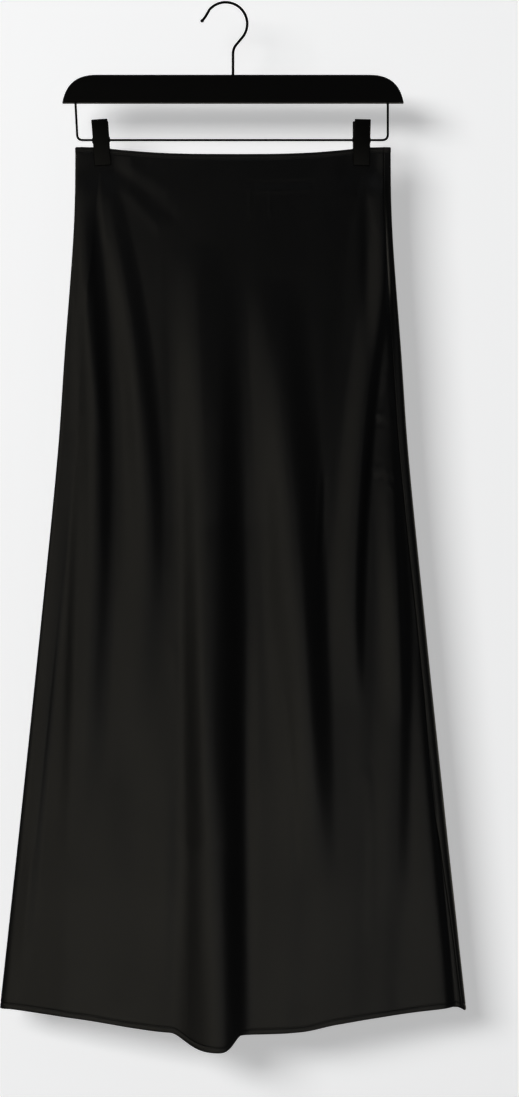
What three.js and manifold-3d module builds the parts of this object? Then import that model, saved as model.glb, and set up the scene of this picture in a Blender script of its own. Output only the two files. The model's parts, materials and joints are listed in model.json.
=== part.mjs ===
// A long black satin skirt, cut on the bias and flared, hanging from the two clips of a wooden hanger.
// Millimetres, +Z up, the skirt's front towards -Y. The origin is where a rail bears inside the hook.
// The cloth is one flattened tube, worked out as a section at each height and split at its side seams.
import * as THREE from "three";
import { mergeVertices } from "three/addons/utils/BufferGeometryUtils.js";
import Module from "manifold-3d";

const wasm = await Module();
wasm.setup();

// Driving sizes of the hanger
const hook = { wire: 3, radius: 24, tipAngle: 139, neckAngle: -40, neckBend: 6, ease: 0.35 };
const hookTip = { x: -26.2, z: -19.1, run: 2.6, leave: [-22, -14.8], join: [-21.6, -13.2], ball: 4 };
const bar = { length: 380, height: 31, thick: 14, topZ: -80, edge: 2.5, socket: 10, clearance: 0.3 };
const barEnd = { lean: 3.5, rise: 18, round: 13, reach: 38 };
const stemX = 8.2;
const rail = { wire: 2.6, left: -175.5, right: 172.5, lean: 1.8, z: -152.1, bend: 6.5, socket: 8 };
const clip = { wide: 18, above: 22, below: 28.8, plate: 1.8, grip: 1.8, pivotGap: 5.4, handle: 8.2 };
const jawEdge = { chamfer: 0.5, lip: 0.6, waist: 1 };
const sleeve = { half: 10, play: 0.3, outer: 3.5, flare: 1.1, lip: 0.3 };
const spring = { turns: 4, half: 4.9, inner: 3.8, outer: 5.1, groove: 0.35 };
const ear = { thick: 1.2, radius: 4.9, hole: 3.8, frontAt: 7.3, backAt: 5.8 };
const clips = [
  { name: "left", x: -147, lean: 4, yaw: 0 },
  { name: "right", x: 143.2, lean: -0.6, yaw: 5.5 },
];

// Driving sizes of the skirt
const waistZ = -160;
const wall = 1.2;
const seamGap = 0.3;
const waistEdge = { deep: 6, proud: 0.25, wall: 1.6 };
const hemTurn = { deep: 8, wall: 2.2, step: 1.2 };
const waistSag = { deep: 8.8, reach: 150, power: 2.7 };
const pinch = { half: 1.45, flat: 12, spread: 36, down: 21.5, fade: 56 };
const fullness = { share: 4, power: 1.5, folds: 80 };

// Half the width of the hanging skirt, by the distance down its side from the waist
const silhouette = [
  { down: 0, half: 175.7 },
  { down: 60, half: 176.4 },
  { down: 115, half: 179.0 },
  { down: 226, half: 187.4 },
  { down: 338, half: 195.2 },
  { down: 505, half: 211.6 },
  { down: 728, half: 234.8 },
  { down: 950, half: 258.8 },
  { down: 1000, half: 264.5 },
];

// How far the cloth stands out in front and behind, and the depth and width of the rounded side folds
const depths = [
  { down: 0, front: 5.2, back: 5.2, side: 2.5, round: 3 },
  { down: 60, front: 8.5, back: 7.5, side: 2.8, round: 3.5 },
  { down: 160, front: 13, back: 10, side: 3.6, round: 5 },
  { down: 340, front: 19, back: 15, side: 5, round: 7 },
  { down: 620, front: 25, back: 19, side: 7, round: 9 },
  { down: 1000, front: 31, back: 24, side: 10, round: 12 },
];

// The hem's distance down, across the skirt as a share of its half width
const hemLine = [
  { across: -1, down: 959 },
  { across: -0.64, down: 969.5 },
  { across: -0.33, down: 980.5 },
  { across: 0, down: 984 },
  { across: 0.3, down: 981.5 },
  { across: 0.46, down: 973.5 },
  { across: 0.76, down: 962.5 },
  { across: 1, down: 956 },
];
const hemDip = { across: -0.062, deep: 17.5, left: 0.213, right: 0.101, power: 3 };
const hemCorner = { turn: 1.5, deep: 5, reach: 0.55 };

// How far each side seam lies in from the silhouette. The right one shows in front, the left is behind.
const seams = [
  { down: 0, right: 8, left: 1.8 },
  { down: 340, right: 10, left: 4.5 },
  { down: 600, right: 9.5, left: 5.5 },
  { down: 740, right: 11, left: 6 },
  { down: 870, right: 6.5, left: 7 },
  { down: 1000, right: 4.5, left: 8 },
];

// Soft folds. Each has a crest that runs from top to foot through x at its top, middle and foot, a left
// and a right flank whose widths go from the top's to the foot's, and its height in the middle and at
// its foot.
const frontFolds = [
  { top: 14, foot: 800, x: [-168, -153, -182], left: [20, 46], right: [14, 34], mid: 11.5, end: 0 },
  { top: -60, foot: 320, x: [-172, -168, -150], left: [24, 30], right: [20, 16], mid: 6, end: 0 },
  { top: 18, foot: 700, x: [-150, -98, -122], left: [18, 36], right: [18, 30], mid: 9, end: 0 },
  { top: -120, foot: 420, x: [-5, -5, -5], left: [145, 145], right: [150, 150], mid: 7, end: 0 },
  { top: 110, foot: 780, x: [-42, -27, -34], left: [36, 52], right: [54, 58], mid: 15.5, end: 0 },
  { top: 330, foot: 985, x: [-42, -28, -18], left: [16, 56], right: [56, 46], mid: 5, end: 19 },
  { top: 140, foot: 985, x: [9, 13, 14], left: [26, 24], right: [22, 14], mid: -3, end: -1.5 },
  { top: 330, foot: 985, x: [-74, -72, -76], left: [30, 44], right: [18, 30], mid: 3, end: 2 },
  { top: 150, foot: 830, x: [44, 74, 90], left: [34, 56], right: [42, 26], mid: 16, end: 0 },
  { top: 40, foot: 620, x: [186, 144, 136], left: [24, 32], right: [14, 13], mid: 10.5, end: 0 },
  { top: -40, foot: 330, x: [169, 170, 176], left: [24, 22], right: [10, 11], mid: 6.5, end: 0 },
  { top: 40, foot: 240, x: [138, 140, 138], left: [14, 20], right: [9, 12], mid: 1.5, end: 0 },
  { top: 280, foot: 640, x: [172, 181, 186], left: [22, 26], right: [12, 14], mid: 7, end: 0 },
  { top: 420, foot: 860, x: [186, 184, 180], left: [30, 36], right: [16, 18], mid: 6, end: 0 },
  { top: 310, foot: 930, x: [-184, -213, -240], left: [14, 20], right: [14, 18], mid: 9, end: 0 },
  { top: 330, foot: 800, x: [-172, -176, -184], left: [10, 14], right: [10, 12], mid: 2.5, end: 0 },
  { top: 520, foot: 985, x: [212, 226, 236], left: [36, 60], right: [16, 20], mid: 5, end: 6 },
];
const backFolds = [
  { top: 16, foot: 700, x: [-160, -150, -166], left: [16, 30], right: [16, 26], mid: 7, end: 0 },
  { top: 20, foot: 985, x: [-150, -92, -96], left: [22, 40], right: [20, 34], mid: 6, end: 11 },
  { top: 150, foot: 985, x: [-30, -24, -18], left: [30, 44], right: [34, 46], mid: 7, end: 14 },
  { top: 130, foot: 820, x: [40, 52, 62], left: [34, 38], right: [30, 34], mid: 6, end: 0 },
  { top: 24, foot: 985, x: [150, 104, 96], left: [20, 38], right: [22, 40], mid: 7, end: 10 },
  { top: 260, foot: 900, x: [160, 172, 184], left: [20, 30], right: [14, 24], mid: 6, end: 0 },
  { top: 420, foot: 985, x: [-190, -194, -200], left: [18, 28], right: [24, 34], mid: 3, end: 7 },
];

// How finely the forms are divided
const rows = { panel: 22, growth: 1.2 };
const columns = { tip: 4, front: 64, back: 36, seam: 2, seamShare: 0.2 };
const facets = { wire: 8, hookRings: 14, railRings: 6, socket: 12, ball: 12, ballRings: 8 };
const curves = { bar: 10, barEdge: 3, ear: 8, sleeve: 20, spring: 12 };
const small = 1e-3;

const { clamp, degToRad, lerp, smoothstep } = THREE.MathUtils;

// A smooth curve through one column of a table, read by another of its columns
function along(table, by, column, at) {
  const last = table.length - 1;
  let i = 0;
  while (i < last - 1 && at > table[i + 1][by]) i++;
  const slope = (k) => {
    const a = table[Math.max(k - 1, 0)];
    const b = table[Math.min(k + 1, last)];
    return (b[column] - a[column]) / (b[by] - a[by]);
  };
  const span = table[i + 1][by] - table[i][by];
  const t = clamp((at - table[i][by]) / span, 0, 1);
  const start = table[i][column] * (1 + 2 * t) * (1 - t) ** 2 + slope(i) * span * t * (1 - t) ** 2;
  return start + table[i + 1][column] * t * t * (3 - 2 * t) + slope(i + 1) * span * t * t * (t - 1);
}

// A bump of height 1 at 0 that falls softly to nothing at -left and at right
function bump(x, left, right) {
  const t = Math.min(1, Math.abs(x) / (x < 0 ? left : right));
  return Math.cos((t * Math.PI) / 2) ** 2;
}

// The same with a flatter top and steeper sides
function lobe(x, left, right, power) {
  const t = Math.min(1, Math.abs(x) / (x < 0 ? left : right));
  return (1 - t ** power) ** 2;
}

// How far a set of folds lifts the cloth at x, at a distance down the skirt
function foldHeight(folds, x, down) {
  let height = 0;
  for (const fold of folds) {
    const t = clamp((down - fold.top) / (fold.foot - fold.top), 0, 1);
    const [xTop, xMid, xFoot] = fold.x;
    const bend = 2 * xMid - (xTop + xFoot) / 2;
    const crest = (1 - t) ** 2 * xTop + 2 * t * (1 - t) * bend + t * t * xFoot;
    const rise = fold.mid * Math.sin(Math.PI * t) + fold.end * smoothstep(t, 0, 1);
    height += rise * bump(x - crest, lerp(...fold.left, t), lerp(...fold.right, t));
  }
  return height;
}

// How hard the nearer clip presses the cloth flat, from 0 to 1, and how far its turn carries the cloth
function pressed(x, down) {
  const near = clips[x < 0 ? 0 : 1];
  const across = 1 - smoothstep(Math.abs(x - near.x), pinch.flat, pinch.spread);
  const press = across * (1 - smoothstep(down, pinch.down, pinch.fade));
  return { press, turn: press * (x - near.x) * Math.tan(degToRad(near.yaw)) };
}

// The cloth's outer face at x on one side (-1 in front, 1 behind), inside the rounded side folds
function faceY(side, x, reach, down) {
  const share = Math.min(1, Math.abs(x) / reach);
  const column = side < 0 ? "front" : "back";
  const edge = along(depths, "down", "side", down);
  const full = (1 - share ** fullness.share) ** fullness.power;
  const open = edge + (along(depths, "down", column, down) - edge) * full;
  const folds = side < 0 ? frontFolds : backFolds;
  const lifted = foldHeight(folds, x, down) * (1 - share ** fullness.folds) ** 2;
  const { press, turn } = pressed(x, down);
  return side * (pinch.half + (open + lifted - pinch.half) * (1 - press)) + turn;
}

// How far down the cloth's edge lies at the waist and at the hem, across the skirt
function waistDown(across) {
  const x = Math.abs(across) * silhouette[0].half;
  return waistSag.deep * Math.max(0, 1 - (x / waistSag.reach) ** waistSag.power);
}
function hemDown(across, side) {
  const dip = hemDip.deep * lobe(across - hemDip.across, hemDip.left, hemDip.right, hemDip.power);
  return along(hemLine, "across", "down", across) + (side < 0 ? dip : 0);
}

// A place round the tube. turn runs -1 to 1 across the front, to 2 round the right fold, to 4 across the
// back and to 5 round the left fold. The distance from the waist's edge is a share of the cloth's length.
function clothPoint(turn, share) {
  const q = turn < -1 ? turn + 6 : turn;
  const front = q <= 1;
  const back = q >= 2 && q <= 4;
  const tip = !front && !back;
  const angle = Math.PI * (q < 2 ? q - 1 : q - 4);
  const across = front ? q : back ? 3 - q : q < 2 ? 1 : -1;
  const side = front ? -1 : back ? 1 : -Math.cos(angle) * (q < 2 ? 1 : -1);
  const edge = waistDown(across);
  const corner = hemCorner.deep * bump(q - hemCorner.turn, hemCorner.reach, hemCorner.reach);
  const down = edge + (hemDown(across, front ? -1 : 1) + corner - edge) * share;
  const half = along(silhouette, "down", "half", down);
  const round = along(depths, "down", "round", down);
  const reach = half - round;
  const x = tip ? across * (reach + round * Math.sin(angle)) : across * reach;
  const face = faceY(Math.sign(side) || 1, x, reach, down);
  const y = tip ? side * Math.abs(face) : face;
  return new THREE.Vector3(stemX + x, y, waistZ - down);
}

// The cloth's outward direction at a place
function clothNormal(turn, share) {
  const low = Math.max(0, share - small);
  const high = Math.min(1, share + small);
  const round = clothPoint(turn + small, share).sub(clothPoint(turn - small, share));
  const down = clothPoint(turn, high).sub(clothPoint(turn, low));
  return down.cross(round).normalize();
}

// Where a seam that lies in from the silhouette is on the tube. The left one stays on its rounded fold.
function seamTurn(name, share) {
  const down = share * hemLine[0].down;
  const inset = along(seams, "down", name, down);
  const half = along(silhouette, "down", "half", down);
  const round = along(depths, "down", "round", down);
  const past = Math.asin(clamp((round - inset) / round, 0, 1)) / Math.PI;
  if (name === "left") return past - 2;
  return inset > round ? (half - inset) / (half - round) : 1 + past;
}

// Moves a place along the tube by a distance in millimetres
function shifted(turn, share, distance) {
  const step = clothPoint(turn + small, share).distanceTo(clothPoint(turn - small, share)) / (2 * small);
  return turn + distance / step;
}

function between(from, to, parts) {
  return Array.from({ length: parts }, (_, i) => lerp(from, to, i / parts));
}

// The columns of a panel at one height, from seam to seam
function frontTurns(share) {
  const left = shifted(seamTurn("left", share), share, seamGap / 2);
  const right = shifted(seamTurn("right", share), share, -seamGap / 2);
  return [...between(left, -1, columns.tip), ...between(-1, right, columns.front), right];
}
function backTurns(share) {
  const right = shifted(seamTurn("right", share), share, seamGap / 2);
  const left = shifted(seamTurn("left", share), share, -seamGap / 2) + 6;
  const fold = Math.max(1, lerp(right, 2, columns.seamShare));
  return [
    ...between(right, fold, columns.seam),
    ...between(fold, 2, columns.tip),
    ...between(2, 4, columns.back),
    ...between(4, left, columns.tip),
    left,
  ];
}

// Whether the diagonal from a cell's lower left to its upper right lies closer to the cloth than the other
function leansRight(a, b, c, d) {
  const centre = clothPoint((a.turn + b.turn + c.turn + d.turn) / 4, (a.share + b.share) / 2);
  const slack = (p, q) => p.outer.clone().add(q.outer).divideScalar(2).distanceTo(centre);
  return slack(b, d) < slack(a, c);
}

// Turns a grid of outer and inner points into one closed wall
function wallGeometry(grid) {
  const tall = grid.length;
  const wide = grid[0].length;
  const positions = [];
  for (const layer of ["outer", "inner"]) {
    for (const row of grid) for (const cell of row) positions.push(...cell[layer].toArray());
  }
  const at = (layer, i, j) => layer * tall * wide + i * wide + j;
  const index = [];
  const quad = (a, b, c, d) => index.push(a, b, c, a, c, d);
  for (let i = 0; i < tall - 1; i++) {
    for (let j = 0; j < wide - 1; j++) {
      const corners = (k) => [at(k, i, j), at(k, i + 1, j), at(k, i + 1, j + 1), at(k, i, j + 1)];
      const [a, b, c, d] = corners(0);
      const [e, f, g, h] = corners(1);
      if (leansRight(grid[i][j], grid[i + 1][j], grid[i + 1][j + 1], grid[i][j + 1])) {
        quad(b, c, d, a);
        quad(h, g, f, e);
      } else {
        quad(a, b, c, d);
        quad(e, h, g, f);
      }
    }
    quad(at(0, i, 0), at(1, i, 0), at(1, i + 1, 0), at(0, i + 1, 0));
    quad(at(0, i, wide - 1), at(0, i + 1, wide - 1), at(1, i + 1, wide - 1), at(1, i, wide - 1));
  }
  for (let j = 0; j < wide - 1; j++) {
    quad(at(0, 0, j), at(0, 0, j + 1), at(1, 0, j + 1), at(1, 0, j));
    quad(at(0, tall - 1, j), at(1, tall - 1, j), at(1, tall - 1, j + 1), at(0, tall - 1, j + 1));
  }
  const geometry = new THREE.BufferGeometry();
  geometry.setAttribute("position", new THREE.Float32BufferAttribute(positions, 3));
  geometry.setIndex(index);
  geometry.computeVertexNormals();
  return geometry;
}

// One place on the cloth with its outer point, moved out, and its inner point, a wall's thickness behind
function cell(turn, share, proud, thick) {
  const outer = clothPoint(turn, share);
  const normal = clothNormal(turn, share);
  const inner = outer.clone().addScaledVector(normal, -thick);
  return { turn, share, outer: outer.addScaledVector(normal, proud), inner };
}

const clothLength = hemLine[0].down;

// A panel from under the waist's edge to the hem, which is turned up inside. One row lies at the clips'
// feet.
function panel(turnsAt) {
  const start = (waistEdge.deep + seamGap) / clothLength;
  const turnAt = 1 - hemTurn.deep / clothLength;
  const stepAt = turnAt - hemTurn.step / clothLength;
  const grip = pinch.down / clothLength;
  const shares = between(0, 1, rows.panel).map((t) => lerp(grip, stepAt, t ** rows.growth));
  const grid = [start, ...shares, stepAt, turnAt, 1].map((share) => {
    const thick = share >= turnAt ? hemTurn.wall : wall;
    return turnsAt(share).map((turn) => cell(turn, share, 0, thick));
  });
  return wallGeometry(grid);
}

// The narrow stitched edge over the elastic, along the top of a panel
function edgeStrip(turnsAt) {
  const grid = [0, waistEdge.deep / clothLength].map((share) =>
    turnsAt(share).map((turn) => cell(turn, share, waistEdge.proud, waistEdge.wall - waistEdge.proud)),
  );
  return wallGeometry(grid);
}

// A closed geometry as a solid that can be cut and joined, and back again
function solid(geometry) {
  const bare = geometry.clone();
  bare.deleteAttribute("normal");
  bare.deleteAttribute("uv");
  const merged = mergeVertices(bare, small);
  const vertProperties = merged.attributes.position.array;
  const triVerts = new Uint32Array(merged.index.array);
  return new wasm.Manifold(new wasm.Mesh({ numProp: 3, vertProperties, triVerts }));
}
function geometryOf(shape) {
  const { vertProperties, triVerts } = shape.getMesh();
  const geometry = new THREE.BufferGeometry();
  geometry.setAttribute("position", new THREE.BufferAttribute(vertProperties, 3));
  geometry.setIndex(new THREE.BufferAttribute(triVerts, 1));
  geometry.computeVertexNormals();
  return geometry;
}

// A path whose rings stand at its own points, close together in the bends and far apart on the straights
class BentLine extends THREE.Curve {
  constructor(points) {
    super();
    this.points = points;
  }
  getSpacedPoints() {
    return this.points;
  }
  getTangentAt(share) {
    const last = this.points.length - 1;
    const i = Math.round(share * last);
    const before = this.points[i].clone().sub(this.points[Math.max(i - 1, 0)]).normalize();
    const after = this.points[Math.min(i + 1, last)].clone().sub(this.points[i]).normalize();
    return before.add(after).normalize();
  }
}

// A round wire along a path drawn in X and Z, with so many rings to each bend
function wireAlong(path, diameter, rings) {
  const points = [];
  for (const curve of path.curves) {
    const drawn = curve.getPoints(curve.isLineCurve ? 1 : rings);
    points.push(...drawn.slice(points.length ? 1 : 0).map((p) => new THREE.Vector3(p.x, 0, p.y)));
  }
  const section = Array.from({ length: facets.wire }, (_, i) => {
    const angle = (2 * Math.PI * i) / facets.wire;
    return new THREE.Vector2((diameter / 2) * Math.cos(angle), (diameter / 2) * Math.sin(angle));
  });
  return new THREE.ExtrudeGeometry(new THREE.Shape(section), {
    steps: points.length - 1,
    bevelEnabled: false,
    extrudePath: new BentLine(points),
  });
}

function hookGeometry() {
  const { wire, radius, tipAngle, neckAngle, neckBend, ease } = hook;
  const { x, z, run, leave, join, ball } = hookTip;
  const centreZ = wire / 2 - radius;
  const begin = degToRad(tipAngle);
  const neck = degToRad(neckAngle);
  const low = { x: radius * Math.cos(neck), z: centreZ + radius * Math.sin(neck) };
  const stemZ = low.z - ((low.x - stemX) * Math.cos(neck)) / -Math.sin(neck);
  const path = new THREE.Path();
  path.moveTo(x, z);
  path.lineTo(x + run, z + run);
  path.bezierCurveTo(...leave, ...join, radius * Math.cos(begin), centreZ + radius * Math.sin(begin));
  path.absarc(0, centreZ, radius, begin, neck, true);
  path.lineTo(lerp(stemX, low.x, ease), lerp(stemZ, low.z, ease));
  path.quadraticCurveTo(stemX, stemZ, stemX, stemZ - neckBend);
  path.lineTo(stemX, bar.topZ - bar.socket + bar.clearance);
  const end = new THREE.SphereGeometry(ball / 2, facets.ball, facets.ballRings).translate(x, 0, z);
  return geometryOf(solid(wireAlong(path, wire, facets.hookRings)).add(solid(end)));
}

// The bar's outline has a flat foot and ends that rise steeply and round over into the top
function barGeometry() {
  const half = bar.length / 2;
  const { height, edge } = bar;
  const { lean, rise, round, reach } = barEnd;
  const shape = new THREE.Shape();
  shape.moveTo(-half, 0);
  shape.bezierCurveTo(lean - half, rise, round - half, height, reach - half, height);
  shape.lineTo(half - reach, height);
  shape.bezierCurveTo(half - round, height, half - lean, rise, half, 0);
  shape.closePath();
  const body = new THREE.ExtrudeGeometry(shape, {
    depth: bar.thick - 2 * edge,
    bevelThickness: edge,
    bevelSize: edge,
    bevelOffset: -edge,
    bevelSegments: curves.barEdge,
    curveSegments: curves.bar,
  });
  body.translate(0, 0, edge - bar.thick / 2);
  body.rotateX(Math.PI / 2);
  body.translate(stemX, 0, bar.topZ - height);
  const footZ = bar.topZ - height;
  const socket = (x, z, wire, deep) => {
    const across = wire / 2 + bar.clearance;
    const hole = new THREE.CylinderGeometry(across, across, 2 * deep, facets.socket);
    return solid(hole.rotateX(Math.PI / 2).translate(x, 0, z));
  };
  return geometryOf(
    solid(body)
      .subtract(socket(stemX, bar.topZ, hook.wire, bar.socket))
      .subtract(socket(stemX + rail.left, footZ, rail.wire, rail.socket))
      .subtract(socket(stemX + rail.right, footZ, rail.wire, rail.socket)),
  );
}

function railGeometry() {
  const topZ = bar.topZ - bar.height + rail.socket - bar.clearance;
  const footZ = bar.topZ - bar.height;
  const left = stemX + rail.left;
  const right = stemX + rail.right;
  const path = new THREE.Path();
  path.moveTo(left, topZ);
  path.lineTo(left, footZ);
  path.lineTo(left + rail.lean, rail.z + rail.bend);
  path.quadraticCurveTo(left + rail.lean, rail.z, left + rail.lean + rail.bend, rail.z);
  path.lineTo(right - rail.bend, rail.z);
  path.quadraticCurveTo(right, rail.z, right, rail.z + rail.bend);
  path.lineTo(right, topZ);
  return wireAlong(path, rail.wire, facets.railRings);
}

// One jaw of a clip, drawn from the side with the wire at 0, and the two ears that hold it on the sleeve
function jawGeometry(side, earAt) {
  const { above, below, plate, grip, pivotGap, handle, wide } = clip;
  const { chamfer, lip, waist } = jawEdge;
  const profile = new THREE.Shape();
  profile.moveTo(grip, -below);
  profile.lineTo(grip + plate, lip - below);
  profile.lineTo(pivotGap + plate, waist);
  profile.lineTo(handle + plate, above);
  profile.lineTo(handle, above);
  profile.lineTo(pivotGap, -waist);
  profile.closePath();
  const body = new THREE.ExtrudeGeometry(profile, {
    depth: wide - 2 * chamfer,
    bevelThickness: chamfer,
    bevelSize: chamfer,
    bevelOffset: -chamfer,
    bevelSegments: 1,
  }).translate(0, 0, chamfer - wide / 2);
  let jaw = solid(body);
  const tab = new THREE.Shape();
  tab.moveTo(pivotGap + plate / 2, -ear.radius);
  tab.lineTo(pivotGap + plate / 2, ear.radius);
  tab.lineTo(0, ear.radius);
  tab.absarc(0, 0, ear.radius, Math.PI / 2, (3 * Math.PI) / 2);
  tab.closePath();
  const hole = new THREE.Path();
  hole.absarc(0, 0, ear.hole, 0, 2 * Math.PI);
  tab.holes.push(hole);
  for (const at of [-earAt, earAt]) {
    const flat = { depth: ear.thick, bevelEnabled: false, curveSegments: curves.ear };
    const lug = new THREE.ExtrudeGeometry(tab, flat);
    jaw = jaw.add(solid(lug.translate(0, 0, at - ear.thick / 2)));
  }
  return geometryOf(jaw)
    .rotateX(Math.PI / 2)
    .rotateZ((side * Math.PI) / 2);
}

// A loose tube round the wire, which can tilt on it by the clip's slant. Its drawn-in ends show beside
// the jaws.
function sleeveGeometry(slant) {
  const { half, outer, flare, lip } = sleeve;
  const bore = rail.wire / 2 + sleeve.play + half * Math.sin(slant);
  const profile = [
    [bore, -half],
    [bore + lip, -half],
    [outer, flare - half],
    [outer, half - flare],
    [bore + lip, half],
    [bore, half],
    [bore, -half],
  ].map(([r, y]) => new THREE.Vector2(r, y));
  return new THREE.LatheGeometry(profile, curves.sleeve).rotateZ(Math.PI / 2);
}

// The clip's spring, coiled close round the sleeve, as a ring with a groove between its turns
function springGeometry() {
  const { turns, half, inner, outer, groove } = spring;
  const pitch = (2 * half) / turns;
  const profile = [new THREE.Vector2(inner, -half)];
  for (let i = 0; i < turns; i++) {
    const y = i * pitch - half;
    profile.push(new THREE.Vector2(outer - groove, y), new THREE.Vector2(outer, y + pitch / 2));
  }
  profile.push(new THREE.Vector2(outer - groove, half), new THREE.Vector2(inner, half), profile[0]);
  return new THREE.LatheGeometry(profile, curves.spring).rotateZ(Math.PI / 2);
}

const materials = {
  satin: new THREE.MeshStandardMaterial({ color: 0x16151a, roughness: 0.38, metalness: 0 }),
  edging: new THREE.MeshStandardMaterial({ color: 0x131215, roughness: 0.5, metalness: 0 }),
  wood: new THREE.MeshStandardMaterial({ color: 0x0c0c0c, roughness: 0.6, metalness: 0 }),
  wire: new THREE.MeshStandardMaterial({ color: 0x101010, roughness: 0.35, metalness: 0.6 }),
  jaw: new THREE.MeshStandardMaterial({ color: 0x141412, roughness: 0.45, metalness: 0.3 }),
};

function piece(name, geometry, material) {
  const mesh = new THREE.Mesh(geometry, material);
  mesh.name = name;
  return mesh;
}

function clipGroup({ name, x, lean, yaw }) {
  const group = new THREE.Group();
  const slant = degToRad(Math.hypot(lean, yaw));
  group.add(piece(`clip_${name}_front_jaw`, jawGeometry(-1, ear.frontAt), materials.jaw));
  group.add(piece(`clip_${name}_back_jaw`, jawGeometry(1, ear.backAt), materials.jaw));
  group.add(piece(`clip_${name}_sleeve`, sleeveGeometry(slant), materials.wire));
  group.add(piece(`clip_${name}_spring`, springGeometry(), materials.wire));
  group.position.set(stemX + x, 0, rail.z);
  group.rotation.set(0, -degToRad(lean), degToRad(yaw), "ZYX");
  return group;
}

const skirtOnHanger = new THREE.Group();
skirtOnHanger.add(
  piece("front_panel", panel(frontTurns), materials.satin),
  piece("back_panel", panel(backTurns), materials.satin),
  piece("waist_edge_front", edgeStrip(frontTurns), materials.edging),
  piece("waist_edge_back", edgeStrip(backTurns), materials.edging),
  piece("hanger_bar", barGeometry(), materials.wood),
  piece("hanger_hook", hookGeometry(), materials.wire),
  piece("hanger_rail", railGeometry(), materials.wire),
  ...clips.map(clipGroup),
);

export default skirtOnHanger;
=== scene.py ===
import json
import math

import bmesh
import bpy
import numpy as np
from mathutils import Matrix, Vector

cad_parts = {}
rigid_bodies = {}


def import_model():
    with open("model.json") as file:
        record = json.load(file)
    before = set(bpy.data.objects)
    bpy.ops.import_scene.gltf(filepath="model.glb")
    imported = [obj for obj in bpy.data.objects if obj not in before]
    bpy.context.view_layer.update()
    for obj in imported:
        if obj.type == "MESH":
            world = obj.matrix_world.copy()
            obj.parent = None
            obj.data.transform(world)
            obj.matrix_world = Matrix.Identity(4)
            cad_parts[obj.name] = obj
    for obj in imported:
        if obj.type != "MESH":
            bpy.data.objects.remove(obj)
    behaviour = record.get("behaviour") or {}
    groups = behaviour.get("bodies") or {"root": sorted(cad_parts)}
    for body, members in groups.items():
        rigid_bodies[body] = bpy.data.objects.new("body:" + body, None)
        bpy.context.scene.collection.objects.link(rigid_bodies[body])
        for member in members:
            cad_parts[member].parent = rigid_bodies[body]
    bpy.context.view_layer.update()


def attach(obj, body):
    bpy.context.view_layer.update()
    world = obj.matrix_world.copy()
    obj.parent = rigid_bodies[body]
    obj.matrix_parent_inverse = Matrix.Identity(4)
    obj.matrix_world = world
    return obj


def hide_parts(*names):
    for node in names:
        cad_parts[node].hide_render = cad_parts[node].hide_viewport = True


# Black satin maxi skirt on a clip hanger. The tables are in millimetres from the hook's seat, the meshes in metres.

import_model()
mm = 0.001
scene = bpy.context.scene
scene.view_settings.view_transform = "Standard"

view = {"across": 0.0377, "height": -0.6072, "distance": 3.2, "frameHeight": 1.2225, "sensor": 36.0}
cameraData = bpy.data.cameras.new("camera")
cameraData.sensor_fit = "VERTICAL"
cameraData.sensor_height = view["sensor"]
cameraData.lens = view["sensor"] * view["distance"] / view["frameHeight"]
camera = bpy.data.objects.new("camera", cameraData)
camera.location = (view["across"], -view["distance"], view["height"])
camera.rotation_euler = (math.radians(90), 0, 0)
scene.collection.objects.link(camera)
scene.camera = camera
print("camera set")


class Wire:
    def __init__(self, tree, socket=None):
        self.tree = tree
        self.socket = socket

    def node(self, kind, settings=None, sockets=None, out=0):
        made = self.tree.nodes.new(kind)
        for name, value in (settings or {}).items():
            if name == "stops":
                ramp = made.color_ramp
                while len(ramp.elements) < len(value):
                    ramp.elements.new(0.5)
                for element, (place, tone) in zip(ramp.elements, value):
                    element.position = place
                    element.color = (tone, tone, tone, 1)
            else:
                setattr(made, name, value)
        for name, value in (sockets or {}).items():
            if isinstance(value, Wire):
                self.tree.links.new(value.socket, made.inputs[name])
            else:
                made.inputs[name].default_value = value
        return Wire(self.tree, made.outputs[out])

    def maths(self, operation, first, second=0.0):
        return self.node("ShaderNodeMath", {"operation": operation}, {0: first, 1: second})

    def __add__(self, other):
        return self.maths("ADD", self, other)

    def __radd__(self, other):
        return self.maths("ADD", other, self)

    def __mul__(self, other):
        return self.maths("MULTIPLY", self, other)

    def __rmul__(self, other):
        return self.maths("MULTIPLY", other, self)


def newMaterial(name, **constants):
    material = bpy.data.materials.new(name)
    material.use_nodes = True
    shader = material.node_tree.nodes["Principled BSDF"]
    for socket, value in constants.items():
        shader.inputs[socket.replace("_", " ")].default_value = value
    return material, Wire(material.node_tree), shader


def stretched(wire, coords, size, detail=2.0, roughness=0.5):
    # noise whose grains measure size (in metres) along each axis
    moved = wire.node("ShaderNodeMapping", None, {"Vector": coords, "Scale": [1 / value for value in size]})
    return wire.node("ShaderNodeTexNoise", None,
                     {"Vector": moved, "Scale": 1.0, "Detail": detail, "Roughness": roughness})


def relief(wire, height):
    return wire.node("ShaderNodeBump", None, {"Strength": 1.0, "Distance": 1.0, "Height": height})


def blend(wire, amount, dark, light):
    return wire.node("ShaderNodeMix", {"data_type": "RGBA"}, {0: amount, 6: (*dark, 1), 7: (*light, 1)}, out=2)


def feed(wire, shader, **links):
    for socket, value in links.items():
        wire.tree.links.new(value.socket, shader.inputs[socket.replace("_", " ")])


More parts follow.
